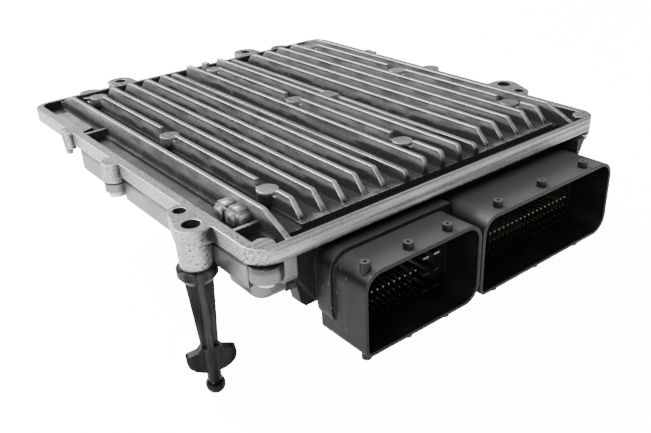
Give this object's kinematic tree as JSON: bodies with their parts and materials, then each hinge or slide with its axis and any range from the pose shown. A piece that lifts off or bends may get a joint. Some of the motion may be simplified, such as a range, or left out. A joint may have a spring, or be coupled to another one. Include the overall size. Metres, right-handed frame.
{
  "type": "engine control unit",
  "caption": "Sealed engine control unit: finned die-cast cover on a stepped tray, two plug sockets on one side, mounting ears and a push-in mounting pin.",
  "frame": {"origin": "midway between the two rear ear holes, at the underside of the ears and of the cover's rim", "axes": "+X along the plug side, +Y from the plug side to the rear ears, +Z out of the finned face"},
  "size_m": [0.2054, 0.229, 0.0772],
  "materials": {
    "cast_cover": "weathered die-cast aluminium",
    "cast_tray": "die-cast aluminium, smoother and paler",
    "sealant": "cured silicone sealant",
    "header_plastic": "moulded black plastic",
    "contact_plating": "pale gold plating",
    "pin_plastic": "dark grey moulded plastic",
    "screw_zinc": "zinc plated",
    "board_laminate": "green solder mask",
    "chip_resin": "black moulding resin",
    "crystal_can": "drawn metal can",
    "capacitor_can": "drawn aluminium can",
    "coil_resin": "dark ferrite and resin",
    "thermal_silicone": "soft grey silicone",
    "membrane_film": "white breather film"
  },
  "bodies": {
    "root": {"finned_cover": "cast_cover", "base_tray": "cast_tray", "cover_seal": "sealant", "header_seal": "sealant", "connector_header": "header_plastic", "small_socket_pins": "contact_plating", "small_socket_blades": "contact_plating", "large_socket_pins": "contact_plating", "mounting_pin": "pin_plastic", "cover_screws": "screw_zinc", "circuit_board": "board_laminate", "board_screws": "screw_zinc", "microcontroller": "chip_resin", "memory_chip": "chip_resin", "driver_chips": "chip_resin", "voltage_regulator": "chip_resin", "power_transistors": "chip_resin", "quartz_crystal": "crystal_can", "pressure_sensor": "chip_resin", "electrolytic_capacitors": "capacitor_can", "choke_coils": "coil_resin", "thermal_pads": "thermal_silicone", "vent_membrane": "membrane_film"}
  },
  "joints": []
}
